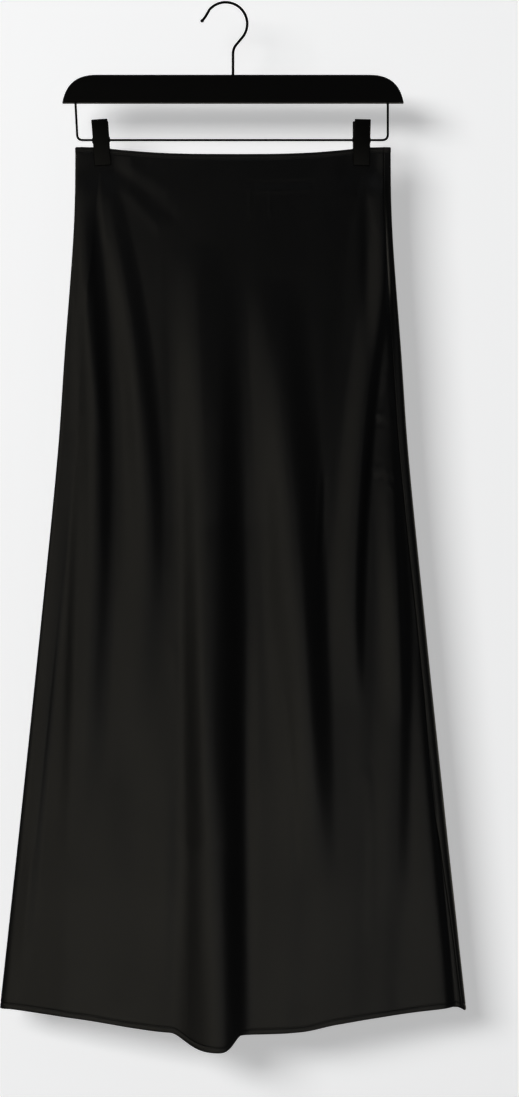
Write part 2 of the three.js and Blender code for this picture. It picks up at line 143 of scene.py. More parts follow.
# grain sizes in metres across the cloth and along it; the threads run at 45 degrees because the cut is on the bias
satinLook = {
    "dark": (0.0017, 0.0017, 0.0018), "light": (0.0031, 0.0031, 0.0032), "slubTone": 0.6, "cloudTone": 0.4,
    "slub": (0.0011, 0.021, 1), "cloud": (0.07, 0.11, 1), "ripple": (0.012, 0.052, 1), "bias": 45,
    "roughness": 0.38, "cloudRough": 0.10, "slubRough": 0.05,
    "thread": 0.00034, "threadDepth": 0.000012, "slubDepth": 0.000018, "rippleDepth": 0.00022,
}
bandLook = {**satinLook, "roughness": 0.47, "rippleDepth": 0.000088}


def satinMaterial(name, look):
    material, wire, shader = newMaterial(name, Specular_IOR_Level=0.25)
    cloth = wire.node("ShaderNodeUVMap", {"uv_map": "cloth"})
    slub = stretched(wire, cloth, look["slub"], 3.0)
    cloud = stretched(wire, cloth, look["cloud"], 2.0)
    ripple = stretched(wire, cloth, look["ripple"], 2.0, 0.45)
    turned = wire.node("ShaderNodeMapping", None, {"Vector": cloth, "Rotation": (0, 0, math.radians(look["bias"]))})
    across = wire.node("ShaderNodeSeparateXYZ", None, {0: turned})
    rib = wire.maths("SINE", across * (2 * math.pi / look["thread"]))
    tone = slub * look["slubTone"] + cloud * look["cloudTone"]
    height = rib * look["threadDepth"] + slub * look["slubDepth"] + ripple * look["rippleDepth"]
    smoothest = look["roughness"] - (look["cloudRough"] + look["slubRough"]) / 2
    feed(wire, shader, Base_Color=blend(wire, tone, look["dark"], look["light"]),
         Roughness=cloud * look["cloudRough"] + slub * look["slubRough"] + smoothest, Normal=relief(wire, height))
    return material


woodLook = {
    "dark": (0.0014, 0.0014, 0.0014), "light": (0.0028, 0.0027, 0.0026), "grainTone": 0.5, "cloudTone": 0.5,
    "grain": (0.05, 0.0016, 0.0014), "pore": (0.012, 0.0005, 0.0005), "cloud": (0.06, 0.03, 0.03),
    "smoothest": 0.46, "cloudRough": 0.14, "grainRough": 0.06, "grainDepth": 0.00008, "poreDepth": 0.00003,
}


def paintedWood(name, look):
    material, wire, shader = newMaterial(name, Specular_IOR_Level=0.1)
    place = wire.node("ShaderNodeTexCoord", out=3)
    grain = stretched(wire, place, look["grain"], 3.0)
    pore = stretched(wire, place, look["pore"], 1.0)
    cloud = stretched(wire, place, look["cloud"], 2.0)
    tone = grain * look["grainTone"] + cloud * look["cloudTone"]
    height = grain * look["grainDepth"] + pore * look["poreDepth"]
    feed(wire, shader, Base_Color=blend(wire, tone, look["dark"], look["light"]),
         Roughness=cloud * look["cloudRough"] + grain * look["grainRough"] + look["smoothest"],
         Normal=relief(wire, height))
    return material


# a coat of lacquer: its fine peel, and the slow change of its tone and gloss
lacquer = {"cloud": (0.02, 0.02, 0.02), "cloudRough": 0.12, "peel": 0.0009, "peelDepth": 0.000012}


def lacqueredSteel(name, dark, light, roughness, peel=lacquer["peel"], peelDepth=lacquer["peelDepth"], **constants):
    material, wire, shader = newMaterial(name, **constants)
    place = wire.node("ShaderNodeTexCoord", out=3)
    grain = stretched(wire, place, (peel, peel, peel), 2.0)
    cloud = stretched(wire, place, lacquer["cloud"], 3.0)
    smoothest = roughness - lacquer["cloudRough"] / 2
    feed(wire, shader, Base_Color=blend(wire, cloud, dark, light), Roughness=cloud * lacquer["cloudRough"] + smoothest,
         Normal=relief(wire, grain * peelDepth))
    return material


satin = satinMaterial("satin", satinLook)
satinBand = satinMaterial("satinBand", bandLook)
threadBlack = lacqueredSteel("threadBlack", (0.004, 0.004, 0.004), (0.008, 0.008, 0.008), 0.6, 0.0003, 0.00001)
woodPaint = paintedWood("woodPaint", woodLook)
wireBlack = lacqueredSteel("wireBlack", (0.0004, 0.0004, 0.0004), (0.001, 0.001, 0.001), 0.4, Specular_IOR_Level=0.03)
jawBlack = lacqueredSteel("jawBlack", (0.0012, 0.0012, 0.0011), (0.0028, 0.0028, 0.0024), 0.42,
                          Specular_IOR_Level=0.11)
springSteel = lacqueredSteel("springSteel", (0.02, 0.02, 0.02), (0.05, 0.05, 0.05), 0.35, Metallic=0.8)
print("finishes made")

# the cloth's form: distances down are from the top of the side folds
skirt = {"centre": 8.2, "waist": -160.0, "length": 959.0, "small": 1e-3}
waistSag = {"deep": 8.8, "reach": 150.0, "power": 2.7}
pinch = {"half": 1.45, "flat": 12.0, "spread": 36.0, "down": 21.5, "fade": 56.0, "power": 3}
clips = [{"x": -147.0, "yaw": 0.0}, {"x": 143.2, "yaw": 5.5}]
silhouette = {
    "down": [0, 60, 115, 226, 338, 505, 728, 950, 1000],
    "half": [175.7, 176.4, 179.0, 187.4, 195.2, 211.6, 234.8, 258.8, 264.5],
}
depths = {
    "down": [0, 60, 160, 340, 620, 1000],
    "front": [5.2, 8.5, 13, 19, 25, 31],
    "back": [5.2, 7.5, 10, 15, 19, 24],
    "side": [2.5, 2.8, 3.6, 5, 7, 10],
    "round": [3, 3.5, 5, 7, 9, 12],
}
hemLine = {
    "across": [-1, -0.64, -0.33, 0, 0.3, 0.46, 0.76, 1],
    "down": [959, 969.5, 980.5, 984, 981.5, 973.5, 962.5, 956],
}
hemDip = {"across": -0.062, "deep": 17.5, "left": 0.213, "right": 0.101, "power": 3}
hemCorner = {"turn": 1.5, "deep": 5.0, "reach": 0.55}
seams = {
    "down": [0, 340, 600, 740, 870, 1000],
    "right": [8, 10, 9.5, 11, 6.5, 4.5],
    "left": [1.8, 4.5, 5.5, 6, 7, 8],
}

# top, foot, x at top, middle and foot, left flank at top and foot, right flank at top and foot, rise in middle and foot
frontFolds = [
    (14, 800, -168, -153, -182, 20, 46, 14, 34, 11.5, 0),
    (-60, 320, -172, -168, -150, 24, 30, 20, 16, 6, 0),
    (18, 700, -150, -98, -122, 18, 36, 18, 30, 9, 0),
    (-120, 420, -5, -5, -5, 145, 145, 150, 150, 7, 0),
    (110, 780, -42, -27, -34, 36, 52, 54, 58, 15.5, 0),
    (330, 985, -42, -28, -18, 16, 56, 56, 46, 5, 19),
    (140, 985, 9, 13, 14, 26, 24, 22, 14, -3, -1.5),
    (330, 985, -74, -72, -76, 30, 44, 18, 30, 3, 2),
    (150, 830, 44, 74, 90, 34, 56, 42, 26, 16, 0),
    (40, 620, 186, 144, 136, 24, 32, 14, 13, 10.5, 0),
    (-40, 330, 169, 170, 176, 24, 22, 10, 11, 6.5, 0),
    (40, 240, 138, 140, 138, 14, 20, 9, 12, 1.5, 0),
    (280, 640, 172, 181, 186, 22, 26, 12, 14, 7, 0),
    (420, 860, 186, 184, 180, 30, 36, 16, 18, 6, 0),
    (310, 930, -184, -213, -240, 14, 20, 14, 18, 9, 0),
    (330, 800, -172, -176, -184, 10, 14, 10, 12, 2.5, 0),
    (520, 985, 212, 226, 236, 36, 60, 16, 20, 5, 6),
]
backFolds = [
    (16, 700, -160, -150, -166, 16, 30, 16, 26, 7, 0),
    (20, 985, -150, -92, -96, 22, 40, 20, 34, 6, 11),
    (150, 985, -30, -24, -18, 30, 44, 34, 46, 7, 14),
    (130, 820, 40, 52, 62, 34, 38, 30, 34, 6, 0),
    (24, 985, 150, 104, 96, 20, 38, 22, 40, 7, 10),
    (260, 900, 160, 172, 184, 20, 30, 14, 24, 6, 0),
    (420, 985, -190, -194, -200, 18, 28, 24, 34, 3, 7),
]

# fine creases: rise (or depth), half width, and the points that each runs through, as x and distance down
frontCreases = [
    (0.55, 7, [(-140, 30), (-124, 44), (-104, 66), (-84, 88)]),
    (-0.45, 7, [(-134, 24), (-112, 38), (-88, 58), (-66, 80)]),
    (0.4, 8, [(-122, 20), (-98, 32), (-72, 48)]),
    (1.5, 7, [(-172, 36), (-172, 70), (-170, 110), (-166, 160)]),
    (-0.6, 3.5, [(-151, 30), (-156, 58), (-158, 96)]),
    (0.5, 3, [(-147, 30), (-146, 62), (-141, 104)]),
    (-0.5, 3, [(-157, 26), (-164, 48), (-168, 84)]),
    (-0.5, 4.5, [(142, 30), (137, 60), (130, 96)]),
    (0.4, 4.5, [(149, 30), (154, 58), (160, 92)]),
    (0.4, 6, [(136, 27), (120, 50), (100, 70), (84, 84)]),
    (-0.9, 2.0, [(13, 42), (50, 43.5), (88, 42.5)]),
    (0.8, 2.2, [(15, 46.5), (50, 48), (86, 46.5)]),
    (0.35, 1.6, [(18.8, 48), (18.6, 62), (19, 76)]),
    (0.35, 1.6, [(41, 48), (41.4, 62), (41, 76)]),
    (0.3, 1.6, [(18, 76), (30, 76.6), (42, 76)]),
    (0.6, 2.6, [(97, 366), (95, 410), (92, 462)]),
    (-0.5, 2.4, [(102, 372), (100, 415), (97, 456)]),
    (0.9, 2.4, [(171, 256), (166, 280), (161, 299)]),
    (-0.6, 2.0, [(176, 262), (175, 280), (179, 296)]),
    (1.0, 1.9, [(160, 300), (170, 303), (180, 304)]),
    (-0.8, 1.7, [(161, 305), (171, 308), (181, 309)]),
    (1.0, 2.0, [(158, 359), (172, 366), (189, 374)]),
    (-1.0, 1.8, [(163, 364), (176, 371), (190, 379)]),
    (0.9, 1.8, [(172, 374), (180, 382), (188, 391)]),
    (-0.8, 1.6, [(176, 373), (184, 382), (191, 391)]),
    (0.7, 2.2, [(-188, 299), (-181, 303), (-172, 308)]),
    (-0.6, 2.2, [(-189, 309), (-181, 314), (-171, 320)]),
    (0.8, 2.4, [(-190, 323), (-181, 329), (-171, 336)]),
    (0.7, 2.2, [(-191, 341), (-183, 347), (-174, 355)]),
    (-0.6, 2.2, [(-192, 352), (-184, 359), (-176, 367)]),
    (0.6, 5, [(-64, 560), (-60, 640), (-62, 720)]),
    (-0.5, 4, [(60, 620), (66, 700), (70, 790)]),
    (0.6, 5, [(150, 700), (154, 780), (152, 870)]),
    (-1.0, 13, [(-132, 952), (-122, 956)]),
    (-0.9, 12, [(76, 966), (86, 964)]),
    (-0.9, 11, [(186, 948), (198, 946)]),
]
backCreases = [
    (1.0, 5, [(-146, 30), (-128, 52), (-108, 82), (-92, 116)]),
    (-0.8, 4, [(-138, 27), (-118, 50), (-96, 80)]),
    (-0.7, 3.5, [(-151, 30), (-156, 60), (-159, 98)]),
    (0.9, 5, [(142, 30), (126, 54), (106, 84), (92, 120)]),
    (-0.8, 4, [(134, 28), (116, 52), (96, 80)]),
    (0.7, 3.5, [(150, 30), (156, 60), (160, 96)]),
    (0.6, 2.6, [(-92, 380), (-90, 430), (-94, 480)]),
    (-0.5, 2.6, [(70, 420), (72, 480), (70, 530)]),
    (0.8, 2.6, [(-188, 330), (-178, 336), (-168, 343)]),
    (-0.6, 2.4, [(-189, 342), (-179, 349), (-169, 356)]),
    (0.8, 2.6, [(172, 340), (181, 347), (190, 355)]),
    (0.6, 5, [(-40, 600), (-44, 690), (-42, 780)]),
    (-0.8, 12, [(-100, 960), (-88, 962)]),
    (-0.8, 12, [(120, 958), (132, 956)]),
]
# slow uneven waves all over the cloth, and how the walls close and the folds end at the side folds
wander = {"rise": 0.32, "across": 61.0, "down": 214.0, "sway": 0.7, "second": 0.5, "secondAcross": 0.57,
          "secondDown": 3.1, "secondTurn": 0.31, "from": 30, "full": 260, "front": 0.4, "back": 2.9}
closing = {"square": 4, "round": 1.5, "folds": 80, "creases": 24}


def curveThrough(table, by, column, at):
    places = np.array(table[by], float)
    values = np.array(table[column], float)
    slopes = np.gradient(values, places)
    slopes[1:-1] = (values[2:] - values[:-2]) / (places[2:] - places[:-2])
    i = np.clip(np.searchsorted(places, at, side="right") - 1, 0, len(places) - 2)
    span = places[i + 1] - places[i]
    t = np.clip((at - places[i]) / span, 0, 1)
    start = values[i] * (1 + 2 * t) * (1 - t) ** 2 + slopes[i] * span * t * (1 - t) ** 2
    return start + values[i + 1] * t * t * (3 - 2 * t) + slopes[i + 1] * span * t * t * (t - 1)


def smooth(x, low, high):
    t = np.clip((x - low) / (high - low), 0, 1)
    return t * t * (3 - 2 * t)


def bump(x, left, right):
    t = np.minimum(1, np.abs(x) / np.where(x < 0, left, right))
    return np.cos(t * math.pi / 2) ** 2


def lobe(x, left, right, power):
    t = np.minimum(1, np.abs(x) / np.where(x < 0, left, right))
    return (1 - t ** power) ** 2


def foldHeight(folds, x, down):
    height = np.zeros_like(x)
    for top, foot, xTop, xMid, xFoot, leftTop, leftFoot, rightTop, rightFoot, mid, end in folds:
        t = np.clip((down - top) / (foot - top), 0, 1)
        bend = 2 * xMid - (xTop + xFoot) / 2
        crest = (1 - t) ** 2 * xTop + 2 * t * (1 - t) * bend + t * t * xFoot
        rise = mid * np.sin(math.pi * t) + end * smooth(t, 0, 1)
        left = leftTop + (leftFoot - leftTop) * t
        right = rightTop + (rightFoot - rightTop) * t
        height += rise * bump(x - crest, left, right)
    return height


def creaseHeight(creases, x, down):
    height = np.zeros_like(x)
    for rise, width, points in creases:
        nearest = np.full_like(x, 1e9)
        for (ax, ad), (bx, bd) in zip(points, points[1:]):
            run = np.hypot(bx - ax, bd - ad)
            t = np.clip(((x - ax) * (bx - ax) + (down - ad) * (bd - ad)) / run ** 2, 0, 1)
            nearest = np.minimum(nearest, np.hypot(x - ax - t * (bx - ax), down - ad - t * (bd - ad)))
        height += rise * np.exp(-((nearest / width) ** 2))
    return height


def wanderHeight(x, down, turn):
    a = np.sin(2 * math.pi * (x / wander["across"] + wander["sway"] * np.sin(down / wander["down"] + turn)))
    b = np.sin(2 * math.pi * (x / (wander["across"] * wander["secondAcross"])
                              + down / (wander["down"] * wander["secondDown"]) + wander["secondTurn"] * turn))
    return wander["rise"] * (a + wander["second"] * b) * smooth(down, wander["from"], wander["full"])


def pressed(x, down):
    press = np.zeros_like(x)
    turn = np.zeros_like(x)
    for near, chosen in ((clips[0], x < 0), (clips[1], x >= 0)):
        across = 1 - smooth(np.abs(x - near["x"]), pinch["flat"], pinch["spread"])
        here = across * (1 - smooth(down, pinch["down"], pinch["fade"]))
        press = np.where(chosen, here, press)
        turn = np.where(chosen, here * (x - near["x"]) * math.tan(math.radians(near["yaw"])), turn)
    return press, turn


def faceY(side, x, reach, down):
    share = np.minimum(1, np.abs(x) / reach)
    inFront = side < 0
    edge = curveThrough(depths, "down", "side", down)
    deep = np.where(inFront, curveThrough(depths, "down", "front", down), curveThrough(depths, "down", "back", down))
    plain = edge + (deep - edge) * (1 - share ** closing["square"]) ** closing["round"]
    folds = np.where(inFront, foldHeight(frontFolds, x, down), foldHeight(backFolds, x, down))
    fine = np.where(inFront, creaseHeight(frontCreases, x, down) + wanderHeight(x, down, wander["front"]),
                    creaseHeight(backCreases, x, down) + wanderHeight(x, down, wander["back"]))
    lifted = folds * (1 - share ** closing["folds"]) ** 2
    fine = fine * (1 - share ** closing["creases"])
    press, turn = pressed(x, down)
    loose = (plain + lifted - pinch["half"]) * (1 - press) + fine * (1 - press ** pinch["power"])
    return side * (pinch["half"] + loose) + turn


def waistDown(across):
    x = np.abs(across) * silhouette["half"][0]
    return waistSag["deep"] * np.maximum(0, 1 - (x / waistSag["reach"]) ** waistSag["power"])


def hemDown(across, inFront):
    dip = hemDip["deep"] * lobe(across - hemDip["across"], hemDip["left"], hemDip["right"], hemDip["power"])
    return curveThrough(hemLine, "across", "down", across) + np.where(inFront, dip, 0)


# a place round the tube: -1 to 1 in front, to 2 round the right fold, to 4 behind and to 5 round the left fold
def clothPoint(turn, share):
    turn, share = np.broadcast_arrays(np.asarray(turn, float), np.asarray(share, float))
    q = np.where(turn < -1, turn + 6, turn)
    inFront = q <= 1
    behind = (q >= 2) & (q <= 4)
    rightTip = (q > 1) & (q < 2)
    angle = math.pi * np.where(q < 2, q - 1, q - 4)
    across = np.where(inFront, q, np.where(behind, 3 - q, np.where(rightTip, 1, -1)))
    side = np.where(inFront, -1, np.where(behind, 1, -np.cos(angle) * np.where(rightTip, 1, -1)))
    edge = waistDown(across)
    corner = hemCorner["deep"] * bump(q - hemCorner["turn"], hemCorner["reach"], hemCorner["reach"])
    down = edge + (hemDown(across, inFront) + corner - edge) * share
    half = curveThrough(silhouette, "down", "half", down)
    round_ = curveThrough(depths, "down", "round", down)
    reach = half - round_
    tip = ~inFront & ~behind
    x = np.where(tip, across * (reach + round_ * np.sin(angle)), across * reach)
    whole = np.where(side < 0, -1.0, 1.0)
    y = faceY(whole, across * reach, reach, down)
    y = np.where(tip, side * np.abs(y), y)
    return np.stack([skirt["centre"] + x, y, skirt["waist"] - down], axis=-1)


def clothNormal(turn, share):
    low = np.maximum(0, share - skirt["small"])
    high = np.minimum(1, share + skirt["small"])
    round_ = clothPoint(turn + skirt["small"], share) - clothPoint(turn - skirt["small"], share)
    down = clothPoint(turn, high) - clothPoint(turn, low)
    normal = np.cross(down, round_)
    return normal / np.linalg.norm(normal, axis=-1, keepdims=True)


def seamTurn(name, share):
    down = share * skirt["length"]
    inset = curveThrough(seams, "down", name, down)
    half = curveThrough(silhouette, "down", "half", down)
    round_ = curveThrough(depths, "down", "round", down)
    past = np.arcsin(np.clip((round_ - inset) / round_, 0, 1)) / math.pi
    if name == "left":
        return past - 2
    return np.where(inset > round_, (half - inset) / (half - round_), 1 + past)


def turnsFrom(end, way, share, distances):
    # the places that lie so many millimetres along the cloth from a panel's end
    turns = end + way * np.linspace(0, panelSize["walk"], panelSize["walkSteps"])
    return np.interp(distances, distanceAlong(clothPoint(turns, np.full_like(turns, share)), 0), turns)


# counts of rows and columns, and in millimetres the cloth's thickness, its top edge and the hem's turn
panelSize = {"rows": 176, "growth": 1.12, "tip": 12, "face": 176, "wrap": 8, "edge": 6, "edgeShare": 0.2,
             "thick": 0.45, "start": 4.6, "hemTurn": 8.4, "walk": 0.5, "walkSteps": 320}
# a turned edge: distance in from the edge, and how far the cloth lies inside there
seamRoll = [(9.0, 1.35), (5.0, 1.4), (2.0, 1.35), (0.5, 1.2), (0.06, 0.85),
            (0.1, 0.5), (0.45, 0.2), (1.1, 0.04), (1.8, 0.0)]
hemRoll = [(7.2, 0.05), (6.5, 0.22), (6.0, 0.36), (5.5, 0.22), (4.9, 0.04), (3.2, 0.0), (1.5, 0.02), (0.6, 0.12),
           (0.16, 0.38), (0.0, 0.75), (0.16, 1.1), (0.6, 1.36), (2.0, 1.46), (4.6, 1.42), (6.0, 1.16), (7.6, 1.3),
           (8.0, 1.38)]


def panelGrid(name):
    length = skirt["length"]
    start = panelSize["start"] / length
    turnAt = 1 - panelSize["hemTurn"] / length
    body = start + (turnAt - start) * np.linspace(0, 1, panelSize["rows"]) ** panelSize["growth"]
    shares = np.concatenate([body, [1 - d / length for d, _ in hemRoll]])
    rowIn = np.concatenate([np.zeros(len(body)), [inner for _, inner in hemRoll]])
    edgeAt = [distance for distance, _ in seamRoll]
    edgeIn = [inner for _, inner in seamRoll]
    steps = []
    inward = []
    for share in shares:
        at = np.array([share])
        left, right = seamTurn("left", at)[0], seamTurn("right", at)[0]
        if name == "front":
            ends = (left, right)
            knots = [(left, -1, panelSize["tip"]), (-1, right, panelSize["face"])]
        else:
            ends = (right, left + 6)
            fold = max(1, right + (2 - right) * panelSize["edgeShare"])
            knots = [(right, fold, panelSize["edge"]), (fold, 2, panelSize["wrap"]),
                     (2, 4, panelSize["face"]), (4, left + 6, panelSize["tip"])]
        first = turnsFrom(ends[0], 1, share, edgeAt)
        last = turnsFrom(ends[1], -1, share, edgeAt)[::-1]
        middle = np.concatenate([np.linspace(a, b, n, endpoint=False) for a, b, n in knots] + [[ends[1]]])
        low, high = first[-1], last[0]
        middle = low + (middle - ends[0]) * (high - low) / (ends[1] - ends[0])
        steps.append(np.concatenate([first, middle[1:-1], last]))
        inward.append(edgeIn + [0] * (len(middle) - 2) + edgeIn[::-1])
    turns = np.array(steps)
    sharesGrid = np.broadcast_to(shares[:, None], turns.shape)
    depth = np.array(inward) + rowIn[:, None]
    points = clothPoint(turns, sharesGrid) - clothNormal(turns, sharesGrid) * depth[..., None]
    return points * mm


def distanceAlong(points, axis):
    steps = np.linalg.norm(np.diff(points, axis=axis), axis=-1)
    return np.concatenate([np.zeros_like(steps.take([0], axis)), np.cumsum(steps, axis=axis)], axis=axis)


def gridMesh(name, points, closed=False):
    tall, wide = points.shape[:2]
    vertices = points.reshape(-1, 3)
    i, j = np.meshgrid(np.arange(tall - 1), np.arange(wide if closed else wide - 1), indexing="ij")
    k = (j + 1) % wide
    faces = np.stack([i * wide + j, (i + 1) * wide + j, (i + 1) * wide + k, i * wide + k], axis=-1).reshape(-1, 4)
    mesh = bpy.data.meshes.new(name)
    mesh.from_pydata(vertices.tolist(), [], faces.tolist())
    run = distanceAlong(points, 1)
    run -= run[:, wide // 2][:, None]
    drop = distanceAlong(points, 0)
    uv = mesh.uv_layers.new(name="cloth")
    corner = np.zeros(len(mesh.loops), dtype=np.int32)
    mesh.loops.foreach_get("vertex_index", corner)
    flat = np.stack([run.reshape(-1)[corner], -drop.reshape(-1)[corner]], axis=-1)
    uv.data.foreach_set("uv", flat.reshape(-1).astype(np.float32))
    mesh.shade_smooth()
    mesh.update()
    return mesh


def addObject(name, mesh, material, nodes=()):
    mesh.materials.append(material)
    obj = bpy.data.objects.new(name, mesh)
    scene.collection.objects.link(obj)
    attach(obj, "root")
    if nodes:
        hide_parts(*nodes)
    return obj


def baked(obj):
    # turns a finished modifier stack into the object's own mesh
    depsgraph = bpy.context.evaluated_depsgraph_get()
    mesh = bpy.data.meshes.new_from_object(obj.evaluated_get(depsgraph))
    old = obj.data
    obj.modifiers.clear()
    obj.data = mesh
    bpy.data.meshes.remove(old)
    return obj


def meshArea(points):
    a = np.cross(points[1:, :-1] - points[:-1, :-1], points[:-1, 1:] - points[:-1, :-1])
    b = np.cross(points[1:, :-1] - points[1:, 1:], points[:-1, 1:] - points[1:, 1:])
    return float((np.linalg.norm(a, axis=-1) + np.linalg.norm(b, axis=-1)).sum() / 2)


panels = {}
for which, node in (("front", "front_panel"), ("back", "back_panel")):
    points = panelGrid(which)
    mesh = gridMesh(f"skirt_{which}", points)
    panel = addObject(f"skirt_{which}", mesh, satin, [node])
    wall = panel.modifiers.new("wall", "SOLIDIFY")
    wall.thickness = panelSize["thick"] * mm
    wall.offset = -1
    wall.use_even_offset = False
    baked(panel)
    width = float(np.linalg.norm(np.diff(points[-len(hemRoll) - 1], axis=0), axis=-1).sum())
    tall = float(np.linalg.norm(np.diff(points[:, points.shape[1] // 2], axis=0), axis=-1).sum())
    panels[which] = {"object": panel, "points": points, "flat": (width, tall), "area": meshArea(points)}
    print(f"{which} panel: {len(panel.data.polygons)} faces, cut {width:.3f} by {tall:.3f} m, "
          f"{panels[which]['area']:.3f} m2")

bandSize = {"columns": 300, "leftTip": 14, "rightTip": 20, "at": 0.004, "edge": 0.002, "proud": 0.34, "inner": -1.25}
# the section, as distance down and a share of the way from the inner face to the outer one
bandSection = [(6.2, 0.55), (6.0, 0.9), (5.2, 1.0), (4.7, 0.97), (4.4, 0.84), (4.1, 0.97), (2.6, 1.06), (1.1, 1.02),
               (0.35, 0.84), (0.0, 0.5), (0.3, 0.14), (1.4, 0.0), (4.0, 0.0), (6.0, 0.06)]
# the elastic's small uneven waves: drift moves them along, swell makes some higher; each row is size, reach and start
elastic = {"rise": 0.2, "pitch": 5.3, "drift": [(0.9, 37, 0), (0.6, 23, 1.3)], "even": 0.55, "swell": (0.45, 19, 0.8),
           "fade": 9, "least": 0.2}


def bandTurns(name, count):
    at = np.array([bandSize["at"]])
    left, right = seamTurn("left", at)[0], seamTurn("right", at)[0]
    leftTip, rightTip = bandSize["leftTip"], bandSize["rightTip"]
    if name == "front":
        return np.concatenate([np.linspace(left, -1, leftTip, endpoint=False), np.linspace(-1, right, count)])
    return np.concatenate([np.linspace(right, 2, rightTip, endpoint=False), np.linspace(2, 4, count, endpoint=False),
                           np.linspace(4, left + 6, leftTip)])


def ruffle(run, down):
    drift = sum(size * np.sin(run / reach + start) for size, reach, start in elastic["drift"])
    size, reach, start = elastic["swell"]
    swell = elastic["even"] + size * np.sin(run / reach + start)
    waves = np.sin(2 * math.pi * run / elastic["pitch"] + drift) * swell
    return elastic["rise"] * waves * np.clip(1 - down / elastic["fade"], elastic["least"], 1)


bands = {}
for which, node in (("front", "waist_edge_front"), ("back", "waist_edge_back")):
    turns = bandTurns(which, bandSize["columns"])
    run = distanceAlong(clothPoint(turns, np.full_like(turns, bandSize["edge"])), 0)
    rings = []
    for down, share in bandSection:
        shares = np.full_like(turns, max(down, 0.02) / skirt["length"])
        out = bandSize["inner"] + (bandSize["proud"] - bandSize["inner"]) * share
        base = clothPoint(turns, shares)
        normal = clothNormal(turns, np.maximum(shares, 0.003))
        rings.append(base + normal * (out + ruffle(run, down))[:, None])
    points = np.stack(rings, axis=1) * mm
    mesh = gridMesh(f"waist_{which}", points, closed=True)
    sewn = bmesh.new()
    sewn.from_mesh(mesh)
    bmesh.ops.holes_fill(sewn, edges=[e for e in sewn.edges if e.is_boundary])
    bmesh.ops.recalc_face_normals(sewn, faces=sewn.faces)
    sewn.to_mesh(mesh)
    sewn.free()
    band = addObject(f"waist_{which}", mesh, satinBand, [node])
    ring = np.concatenate([points, points[:, :1]], axis=1)
    bands[which] = {"object": band, "points": points}
    print(f"{which} waist edge: {len(mesh.polygons)} faces, {run[-1]:.0f} mm long, {meshArea(ring):.4f} m2")


def stitchTree():
    tree = bpy.data.node_groups.new("stitchRow", "GeometryNodeTree")
    face = tree.interface
    face.new_socket("Geometry", in_out="INPUT", socket_type="NodeSocketGeometry")
    for name, value in (("Stitch", 0.0024), ("Pitch", 0.003), ("Thread", 0.00032)):
        face.new_socket(name, in_out="INPUT", socket_type="NodeSocketFloat").default_value = value
    face.new_socket("Material", in_out="INPUT", socket_type="NodeSocketMaterial")
    face.new_socket("Geometry", in_out="OUTPUT", socket_type="NodeSocketGeometry")

    def add(kind, links=None, **settings):
        node = tree.nodes.new(kind)
        for key, value in settings.items():
            setattr(node, key, value)
        for key, value in (links or {}).items():
            if isinstance(value, bpy.types.NodeSocket):
                tree.links.new(value, node.inputs[key])
            else:
                node.inputs[key].default_value = value
        return node

    given = add("NodeGroupInput").outputs
    path = add("GeometryNodeMeshToCurve", {"Mesh": given["Geometry"]}).outputs[0]
    even = add("GeometryNodeResampleCurve", {"Curve": path, "Length": given["Pitch"]}, mode="LENGTH").outputs[0]
    tangent = add("GeometryNodeInputTangent").outputs[0]
    turned = add("FunctionNodeAlignRotationToVector", {"Vector": tangent}, axis="Z").outputs[0]
    thread = add("GeometryNodeMeshUVSphere", {"Segments": 6, "Rings": 5, "Radius": 0.5}).outputs[0]
    size = add("ShaderNodeCombineXYZ", {"X": given["Thread"], "Y": given["Thread"], "Z": given["Stitch"]}).outputs[0]
    shaped = add("GeometryNodeTransform", {"Geometry": thread, "Scale": size}).outputs[0]
    placed = add("GeometryNodeInstanceOnPoints", {"Points": even, "Instance": shaped, "Rotation": turned}).outputs[0]
    solid = add("GeometryNodeRealizeInstances", {"Geometry": placed}).outputs[0]
    smoothed = add("GeometryNodeSetShadeSmooth", {"Geometry": solid}).outputs[0]
    finished = add("GeometryNodeSetMaterial", {"Geometry": smoothed, "Material": given["Material"]}).outputs[0]
    add("NodeGroupOutput", {"Geometry": finished})
    return tree


stitchRow = stitchTree()
stitching = {
    "hem": {"Stitch": 0.0026, "Pitch": 0.0033, "Thread": 0.00036},
    "waist": {"Stitch": 0.0022, "Pitch": 0.0029, "Thread": 0.00034},
}
# the grooves that the rows lie in, as distances in their sections, and how far the threads stand out, in metres
grooves = {"hem": 6.0, "waist": 4.4, "waistInside": 4.0, "lift": 0.00008}


def stitches(name, line, sizes):
    mesh = bpy.data.meshes.new(name)
    mesh.from_pydata([tuple(p) for p in line], [(i, i + 1) for i in range(len(line) - 1)], [])
    row = addObject(name, mesh, threadBlack, ())
    maker = row.modifiers.new("stitches", "NODES")
    maker.node_group = stitchRow
    for item in stitchRow.interface.items_tree:
        if item.in_out == "INPUT" and item.name in sizes:
            maker[item.identifier] = sizes[item.name]
        elif item.in_out == "INPUT" and item.name == "Material":
            maker[item.identifier] = threadBlack
    baked(row)
    print(f"{name}: {len(row.data.polygons)} faces")
    return row


def raised(line, outward):
    return line + outward / np.linalg.norm(outward, axis=-1, keepdims=True) * grooves["lift"]


